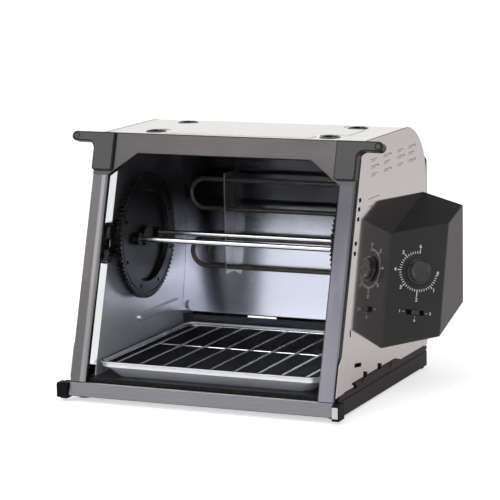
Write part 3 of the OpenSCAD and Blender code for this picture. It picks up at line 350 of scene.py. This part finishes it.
def tray_metal():
    """Pressed aluminium, bright outside, and dark, rougher and not metallic on every face that looks up."""
    n = Nodes("tray_aluminium")
    fine = n.noise(1.0, 3, 0.7, (60, 900, 2400))
    broad = n.noise(12.0, 3, 0.5)
    bright = n.mix(fine, (0.84, 0.83, 0.86), (0.97, 0.96, 0.99))
    bright = n.mix(n.between(broad, 0.35, 0.7), bright, (0.88, 0.87, 0.90))
    dark = n.mix(broad, (0.010, 0.010, 0.012), (0.026, 0.026, 0.029))
    inside = n.between(n.xyz(n.facing)[2], 0.03, 0.12)
    n.set(Base_Color=n.mix(inside, bright, dark))
    n.set(Metallic=n.between(inside, 0, 1, 0.5, 0.0), Specular_IOR_Level=0.15)
    n.set(Roughness=n.math("ADD", n.between(fine, 0.2, 0.8, 0.32, 0.44), n.math("MULTIPLY", inside, 0.25)))
    outside = n.math("SUBTRACT", 1.0, inside)
    n.set(Normal=n.bump(n.math("MULTIPLY", fine, outside), 0.10, 0.00004, n.bevel(0.0003)))
    return n.m


def glass():
    """Clear pane that lets the lamps' light through, with faint smudges."""
    n = Nodes("clear_glass")
    smudge = n.noise(7.0, 4, 0.6)
    n.set(Base_Color=n.mix(smudge, (0.965, 0.975, 0.97), (0.985, 0.99, 0.985)))
    n.set(Roughness=0.0, IOR=1.05, Transmission_Weight=1.0)
    clear = n.add("ShaderNodeBsdfTransparent")
    clear.inputs["Color"].default_value = (0.95, 0.96, 0.955, 1)
    path = n.add("ShaderNodeLightPath").outputs
    lamps = n.math("MAXIMUM", path["Is Shadow Ray"], path["Is Diffuse Ray"])
    n.link(n.mix_shader(lamps, n.bsdf.outputs[0], clear.outputs[0]), n.out.inputs["Surface"])
    return n.m


def sheath():
    """Heating tube: dark oxidised steel, browner and bluer where it has run hot."""
    n = Nodes("element_sheath")
    broad = n.noise(26.0, 4, 0.6)
    fine = n.noise(500.0, 3, 0.6)
    tone = n.mix(n.between(broad, 0.3, 0.7), (0.065, 0.058, 0.055), (0.14, 0.11, 0.095))
    n.set(Base_Color=tone, Metallic=0.7, Roughness=n.between(fine, 0.2, 0.8, 0.42, 0.6))
    n.set(Normal=n.bump(fine, 0.25, 0.00008))
    return n.m


def printing(name, colour):
    """Ink printed on a panel."""
    n = Nodes(name)
    fine = n.noise(1800.0, 2, 0.5)
    n.set(Base_Color=n.mix(fine, shade(colour, 0.86), colour), Roughness=0.55)
    n.set(Normal=n.bump(fine, 0.1, 0.00002))
    return n.m


# the direction in which a metal is brushed or rolled
ALONG_X, ALONG_Y, ALONG_Z = (0.02, 1, 1), (1, 0.02, 1), (1, 1, 0.02)

# the closed door's outward direction, and how far the raised faces of the handles stand out along it
DOOR_LEAN = 17.3
lean = math.radians(DOOR_LEAN)
door_out = Vector((0, -math.cos(lean), math.sin(lean)))
handle_face = max(door_out.dot(v.co) for v in nodes["handle_right"].data.vertices)


def raised_face(n):
    """The raised front faces of the two handles, which keep the plastic's own grey; the rest of each handle
    is painted shade.
    """
    flat = n.between(n.dot(n.facing, tuple(door_out)), 0.95, 0.99)
    out = n.between(n.dot(n.coord, tuple(door_out)), handle_face - 0.0006, handle_face - 0.0003)
    return n.math("MULTIPLY", flat, out)


def looks_out(n):
    """Faces that look to the front, such as the flared front edges of the inner walls, where the cavity steel
    gets a painted highlight.
    """
    return n.between(n.xyz(n.facing)[1], -0.35, -0.55)


def looks_sideways(n):
    """Faces that look straight to the right, which the housing paints lighter: painted light."""
    return n.between(n.xyz(n.facing)[0], 0.85, 0.97)


def inner_lip(n):
    """The strip of the left upright that lies along the window, and its bevel, which are painted paler:
    painted highlight.
    """
    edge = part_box("door_stile_left")[1].x
    return n.between(n.xyz(n.coord)[0], edge - 0.0082, edge - 0.0066)


def upper_part(n):
    """From none near the door's foot to all at its upper corner; the right upright is painted darker there:
    painted shade.
    """
    return n.between(n.xyz(n.coord)[2], 0.07, 0.25)


def looks_up(n):
    """Faces that look up."""
    return n.between(n.xyz(n.facing)[2], 0.6, 0.9)


panel_polish = metal("panel_polish", (0.60, 0.555, 0.55), 0.055, ALONG_Z, grain=0.03, smear=0.02, bump=0.02)
wrap_polish = metal("wrap_polish", (0.645, 0.63, 0.61), 0.12, ALONG_X, grain=0.03, smear=0.02, bump=0.03)
# the four door bars share one finish; their base tones differ as painted light and shade, lightest and bluest
# on the right upright. The bottom rail's faces that look up are a painted highlight, the left upright's lip
# along the window a painted highlight, and the right upright's upper part painted shade
DOOR_BAR = dict(smear=0.12, anisotropic=0.3, bump=0.12)
rail_across = metal("rail_across", (0.112, 0.106, 0.107), 0.34, ALONG_X, grain=0.24, **DOOR_BAR)
rail_low = metal("rail_low", (0.262, 0.264, 0.282), 0.34, ALONG_X, grain=0.26,
                 tint=(looks_up, (0.70, 0.70, 0.72)), **DOOR_BAR)
stile_left = metal("stile_left", (0.170, 0.160, 0.163), 0.32, ALONG_Z, grain=0.20,
                   tint=(inner_lip, (0.36, 0.35, 0.37)), **DOOR_BAR)
stile_right = metal("stile_right", (0.31, 0.305, 0.36), 0.32, ALONG_Z, grain=0.18,
                    tint=(upper_part, (0.112, 0.107, 0.120)), **DOOR_BAR)
# cavity steel: painted shade towards the top, with some darkening from heat and smoke; a painted highlight
# makes front faces paler (and glossier); strong edge brightening paints highlights on the ribs
cavity_steel = metal("cavity_steel", (0.86, 0.87, 0.94), 0.30, ALONG_Y, grain=0.18, smear=0.16, bump=0.10,
                     round_edge=0.0010, wear_and_highlight=1.6, metallic=0.45, smoke_and_shade=(0.125, 0.180),
                     tint=(looks_out, (0.97, 0.97, 0.98), 0.4))
# roof and floor are the cavity's steel made dark to stand for the shade and dark reflections inside: painted
# shade
cavity_roof_shaded = metal("cavity_roof_shaded", (0.04, 0.04, 0.05), 0.40, ALONG_X, grain=0.10, bump=0.06)
cavity_floor_shaded = metal("cavity_floor_shaded", (0.085, 0.09, 0.115), 0.30, ALONG_X, grain=0.12, bump=0.06)
sill_bright = metal("sill_bright", (0.80, 0.80, 0.83), 0.16, ALONG_X, grain=0.04)
# darker towards the top: painted shade, with some darkening from heat and smoke
reflector_polish = metal("reflector_polish", (0.74, 0.76, 0.90), 0.14, ALONG_X, grain=0.05, bump=0.04,
                         smoke_and_shade=(0.150, 0.215))
clip_steel = metal("clip_steel", (0.30, 0.29, 0.29), 0.40, ALONG_Z)
plated = metal("plated_steel", (0.66, 0.65, 0.63), 0.26, round_edge=0.0003)
black_screw = metal("black_screw", (0.06, 0.06, 0.06), 0.38, round_edge=0.0003)
machine_grey = metal("machine_grey", (0.38, 0.38, 0.37), 0.42)
chrome_wire = metal("chrome_wire", (0.86, 0.86, 0.88), 0.16, ALONG_Y, grain=0.06, round_edge=0.0003)
rod_steel = metal("rod_steel", (0.66, 0.66, 0.68), 0.18, ALONG_X, round_edge=0.0004)
bronze = metal("bronze", (0.45, 0.30, 0.14), 0.38)
plate_bright = metal("plate_bright", (0.74, 0.74, 0.80), 0.16, ALONG_Z)

base_plastic = plastic("base_plastic", (0.022, 0.0172, 0.0175), 0.46, shine=0.10)
cover_plastic = plastic("cover_plastic", (0.026, 0.025, 0.026), 0.55, 900.0, 0.3, 0.0001)
# housing: faces that look up are painted darker (painted shade), faces that look right painted lighter
# (painted light), and strong edge brightening paints a pale highlight along its rounded edges
housing_plastic = plastic("housing_plastic", (0.036, 0.0345, 0.035), 0.40, 1500.0, 0.14, round_edge=0.0022,
                          wear_and_highlight=6.0, shine=0.28, tints=[(looks_up, (0.010, 0.0095, 0.0095)),
                                                       (looks_sideways, (0.062, 0.056, 0.055))])
# the handles' body colour is painted shade on their rims and sides; the raised front faces carry the
# plastic's own grey
handle_plastic = plastic("handle_plastic", (0.012, 0.012, 0.012), 0.36, 1300.0, 0.12, round_edge=0.0012,
                         wear_and_highlight=1.6, tints=[(raised_face, (0.088, 0.084, 0.086))])
gloss_black = plastic("gloss_black", (0.008, 0.008, 0.009), 0.24, 700.0, 0.05, coat=0.15)
hinge_black = plastic("hinge_black", (0.008, 0.008, 0.009), 0.5, 900.0, 0.12, shine=0.08)
knob_black = plastic("knob_black", (0.050, 0.050, 0.054), 0.20, 700.0, 0.05, round_edge=0.0010, coat=0.3)
black_enamel = plastic("black_enamel", (0.008, 0.008, 0.009), 0.32, 300.0, 0.06)
# the wheels' strong edge brightening paints pale highlights on their rims and ring grooves: painted highlight
wheel_coat = plastic("wheel_coat", (0.0045, 0.0045, 0.0052), 0.36, 600.0, 0.10, wear_and_highlight=8.0, shine=0.20)
rubber = plastic("rubber", (0.016, 0.016, 0.016), 0.75, 800.0, 0.3)
ceramic = plastic("ceramic", (0.70, 0.67, 0.58), 0.40, 500.0, 0.1, wear_and_highlight=1.05, spread=0.05)

tray_finish = tray_metal()
# dark steel for the right seam: painted shade
seam_painted_shade = metal("seam_painted_shade", (0.06, 0.057, 0.055), 0.45, ALONG_Y, grain=0.06)

FINISH = {
    "base_tray": base_plastic, "rubber_feet": rubber, "outer_wrap": wrap_polish, "top_rest_cups": gloss_black,
    "rear_cover": cover_plastic, "cord_gland": rubber, "side_panel_left": panel_polish,
    "side_panel_right": panel_polish, "inner_wall_left": cavity_steel, "inner_wall_right": cavity_steel,
    "inner_roof": cavity_roof_shaded, "inner_floor": cavity_floor_shaded, "front_sill": sill_bright,
    "rear_reflector": reflector_polish, "heating_element": sheath(), "element_clips": clip_steel,
    "element_terminals": ceramic, "thermal_cutout": black_enamel, "wheel_rest_left": gloss_black,
    "wheel_rest_right": gloss_black, "hinge_block_left": hinge_black, "hinge_block_right": hinge_black,
    "hinge_cap": hinge_black, "hinge_plate": plate_bright, "control_housing": housing_plastic,
    "timer_body": machine_grey, "switch_body": black_enamel, "terminal_block": ceramic,
    "gearbox": machine_grey, "gear_motor": machine_grey, "drive_bushing": bronze,
    "side_panel_screws": black_screw, "rear_cover_screws": plated, "base_screws": plated,
    "door_top_rail": rail_across, "door_stile_left": stile_left, "door_stile_right": stile_right,
    "door_bottom_rail": rail_low, "door_back_frame": black_enamel, "door_glass": glass(),
    "glass_gasket": rubber, "handle_left": handle_plastic, "handle_right": handle_plastic,
    "handle_screws": plated, "hinge_pins": plated, "door_bumpers": rubber,
    "spit_wheel_left": wheel_coat, "spit_wheel_right": wheel_coat, "spit_rod_front": rod_steel,
    "spit_rod_rear": rod_steel, "drive_gear": machine_grey, "drive_shaft": plated,
    "timer_knob": knob_black, "timer_shaft": plated, "switch_slider": knob_black,
    "drip_tray": tray_finish, "grate": chrome_wire,
}
for name, finish in FINISH.items():
    mesh = nodes[name].data
    mesh.materials.clear()
    mesh.materials.append(finish)
assert not set(nodes) - set(FINISH), sorted(set(nodes) - set(FINISH))


# ---------- pieces that stand on the solids ----------

def piece(name, bm, finish, body):
    """The mesh as an object that rides on a body of the oven."""
    mesh = bpy.data.meshes.new(name)
    bm.to_mesh(mesh)
    bm.free()
    mesh.materials.append(finish)
    ob = bpy.data.objects.new(name, mesh)
    scene.collection.objects.link(ob)
    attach(ob, body)


# a print's thickness, and its clearance from the surface that carries it
INK = 0.00007
INK_LIFT = 0.00001


def slab(bm, frame_at, x, z, w, h, turn=0.0):
    """A thin printed bar on the plane y = 0 of frame_at, standing out towards -y."""
    corners = [(-w / 2, -h / 2), (w / 2, -h / 2), (w / 2, h / 2), (-w / 2, h / 2)]
    c, s = math.cos(turn), math.sin(turn)
    rows = []
    for y in (-INK_LIFT, -INK_LIFT - INK):
        points = [Vector((x + px * c - pz * s, y, z + px * s + pz * c)) for px, pz in corners]
        rows.append([bm.verts.new(frame_at @ p) for p in points])
    bm.faces.new(rows[1])
    bm.faces.new(rows[0][::-1])
    for i in range(4):
        j = (i + 1) % 4
        bm.faces.new((rows[0][i], rows[0][j], rows[1][j], rows[1][i]))


def digit(bm, frame_at, text, x, z, size):
    """A plain number on the same plane, centred on (x, z)."""
    curve = bpy.data.curves.new("number", "FONT")
    curve.body = text
    curve.size = size
    curve.align_x = "CENTER"
    curve.align_y = "CENTER"
    curve.extrude = INK / 2
    curve.offset = size * 0.03
    curve.resolution_u = 3
    ob = bpy.data.objects.new("number", curve)
    scene.collection.objects.link(ob)
    dg = bpy.context.evaluated_depsgraph_get()
    mesh = bpy.data.meshes.new_from_object(ob.evaluated_get(dg))
    upright = Matrix.Rotation(math.pi / 2, 4, "X")
    mesh.transform(frame_at @ Matrix.Translation((x, -INK_LIFT - INK / 2, z)) @ upright)
    bm.from_mesh(mesh)
    bpy.data.objects.remove(ob)
    bpy.data.curves.remove(curve)
    bpy.data.meshes.remove(mesh)


def scale_frame(at):
    """Frame of the control face at a point: x along the switch's travel, y into the housing, z up."""
    y = Vector(joints["timer_turn"]["axis"]).normalized()
    x = Vector(joints["switch_slide"]["axis"])
    x = (x - y * x.dot(y)).normalized()
    z = x.cross(y)
    m = Matrix((x, y, z)).transposed().to_4x4()
    m.translation = at
    return m


face = scale_frame(Vector(joints["timer_turn"]["pos_m"]))
slider_points = [Vector(v.co) for v in nodes["switch_slider"].data.vertices]
slider_mid = face.inverted() @ (sum(slider_points, Vector()) / len(slider_points))
slot_at = face @ Vector((slider_mid.x, 0, slider_mid.z))
print_white = printing("print_white", (0.90, 0.90, 0.89))
print_grey = printing("print_grey", (0.20, 0.185, 0.18))


# the dial: six main steps of six ticks each, clockwise over three quarters of a turn from three o'clock
MAIN_STEPS, TICKS_PER_STEP = 6, 6
STEP_TURN = 45
TICK_IN = 0.0232
TICK_OUT, MAIN_OUT, LONG_OUT = 0.0263, 0.0286, 0.0330
LONG_TICK = 2 * TICKS_PER_STEP
TICK_W, MAIN_W = 0.0010, 0.0012
DIAL_DIGIT = 0.0064
DIGIT_R = (0.0262, 0.0318, 0.0366, 0.0318, 0.0318, 0.0318, 0.0322)


def make_dial():
    """Ticks and plain numbers round the timer knob; the tick straight below it is the longest."""
    bm = bmesh.new()
    for i in range(1, MAIN_STEPS * TICKS_PER_STEP + 1):
        a = math.radians(-i * STEP_TURN / TICKS_PER_STEP)
        main = i % TICKS_PER_STEP == 0
        outer = LONG_OUT if i == LONG_TICK else MAIN_OUT if main else TICK_OUT
        r = (TICK_IN + outer) / 2
        slab(bm, face, r * math.cos(a), r * math.sin(a), outer - TICK_IN, MAIN_W if main else TICK_W, a)
    for i, r in enumerate(DIGIT_R):
        a = math.radians(-i * STEP_TURN)
        digit(bm, face, str(i), r * math.cos(a), r * math.sin(a), DIAL_DIGIT)
    piece("dial_scale", bm, print_white, "oven_body")


def tube(bm, points, radius, closed=False, sides=10):
    """A smooth round bar along the points, with flat ends unless it is closed."""
    rings = []
    count = len(points)
    side = None
    for i, at in enumerate(points):
        before = points[i - 1] if i or closed else at
        after = points[(i + 1) % count] if i + 1 < count or closed else at
        along = (after - before).normalized()
        side = (side - along * side.dot(along)).normalized() if side else along.orthogonal().normalized()
        up = along.cross(side)
        rings.append([bm.verts.new(at + radius * (math.cos(t) * side + math.sin(t) * up))
                      for t in (2 * math.pi * k / sides for k in range(sides))])
    for i in range(count if closed else count - 1):
        a, b = rings[i], rings[(i + 1) % count]
        shift = 0
        if i == count - 1:
            shift = min(range(sides), key=lambda k: (b[k].co - a[0].co).length)
        for k in range(sides):
            j = (k + 1) % sides
            f = bm.faces.new((a[k], b[(k + shift) % sides], b[(j + shift) % sides], a[j]))
            f.smooth = True
    if not closed:
        bm.faces.new(rings[0])
        bm.faces.new(rings[-1][::-1])
    bmesh.ops.recalc_face_normals(bm, faces=bm.faces[:])


BEAD_R, BEAD_INSET, BEAD_DROP = 0.0013, 0.0014, 0.0012
BEAD_CORNER_R, BEAD_CORNER_STEPS = 0.0156, 12


def make_tray_bead():
    """The rolled edge of the tray, all round under its rim."""
    low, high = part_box("drip_tray")
    r = BEAD_CORNER_R
    left, right = low.x + BEAD_INSET + r, high.x - BEAD_INSET - r
    front, back = low.y + BEAD_INSET + r, high.y - BEAD_INSET - r
    points = []
    for x, y, start in ((right, back, 0), (left, back, 90), (left, front, 180), (right, front, 270)):
        for k in range(BEAD_CORNER_STEPS + 1):
            t = math.radians(start + 90 * k / BEAD_CORNER_STEPS)
            points.append(Vector((x + r * math.cos(t), y + r * math.sin(t), high.z - BEAD_DROP)))
    bm = bmesh.new()
    tube(bm, points, BEAD_R, closed=True)
    piece("tray_bead", bm, tray_finish, "drip_tray")


WRAP_CORNER_R = 0.076
SEAM_R = 0.0007
SEAM_START = 0.004
SEAM_BEND, BEND_STEPS, LEVEL_STEPS = 62, 16, 8


def make_side_seams():
    """Folded seams between the outer wrap and the two side panels; the right one is dark steel that stands
    for
    the shadow along that seam: painted shade.
    """
    low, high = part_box("outer_wrap")
    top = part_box("side_panel_right")[1].z
    r = WRAP_CORNER_R
    start, bend = low.y + SEAM_START, high.y - r
    for side, x, finish in (("left", low.x, wrap_polish), ("right", high.x, seam_painted_shade)):
        points = [Vector((x, start + (bend - start) * k / LEVEL_STEPS, top)) for k in range(LEVEL_STEPS)]
        for k in range(BEND_STEPS + 1):
            t = math.radians(SEAM_BEND * k / BEND_STEPS)
            points.append(Vector((x, bend + r * math.sin(t), top - r + r * math.cos(t))))
        bm = bmesh.new()
        tube(bm, points, SEAM_R, sides=8)
        piece("seam_" + side, bm, finish, "oven_body")


# the printed chart: heights of its rows, distances of its columns before the back, and two bars below it
PANEL_STEP = 0.001
CHART_ROWS = (0.307, 0.2985, 0.2885)
CHART_COLUMNS = (-0.193, -0.147, -0.098, -0.056)
LOWER_BARS = ((0.2585, 0.040), (0.2490, 0.016))
LOWER_BARS_START = -0.215


def make_panel_chart():
    """Plain bars in place of the printed chart on the right side panel; no words."""
    wrap_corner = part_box("outer_wrap")[1]
    outer = wrap_corner.x + PANEL_STEP
    back = wrap_corner.y
    at = Matrix(((0, -1, 0, outer), (1, 0, 0, back), (0, 0, 1, 0), (0, 0, 0, 1)))
    bm = bmesh.new()
    for row, z in enumerate(CHART_ROWS):
        for column, y in enumerate(CHART_COLUMNS):
            slab(bm, at, y, z, 0.022, 0.0010)
            slab(bm, at, y - 0.003, z - 0.0024, 0.016, 0.0007)
            if (row + column) % 2:
                slab(bm, at, y + 0.014, z - 0.0008, 0.0030, 0.0030)
    for z, width in LOWER_BARS:
        slab(bm, at, LOWER_BARS_START + width / 2, z, width, 0.0009)
    piece("panel_chart", bm, print_grey, "oven_body")


def make_switch_marks():
    """A stroke and a plain number for each of the switch's three places."""
    bm = bmesh.new()
    at = scale_frame(slot_at)
    for side, text in ((-1, "1"), (1, "2")):
        slab(bm, at, side * 0.0158, 0, 0.0028, 0.0005)
        digit(bm, at, text, side * 0.0208, 0, 0.0050)
    slab(bm, at, 0, -0.0062, 0.0005, 0.0022)
    digit(bm, at, "0", 0, -0.0107, 0.0046)
    piece("switch_scale", bm, print_white, "oven_body")


make_dial()
make_switch_marks()
make_tray_bead()
make_side_seams()
make_panel_chart()
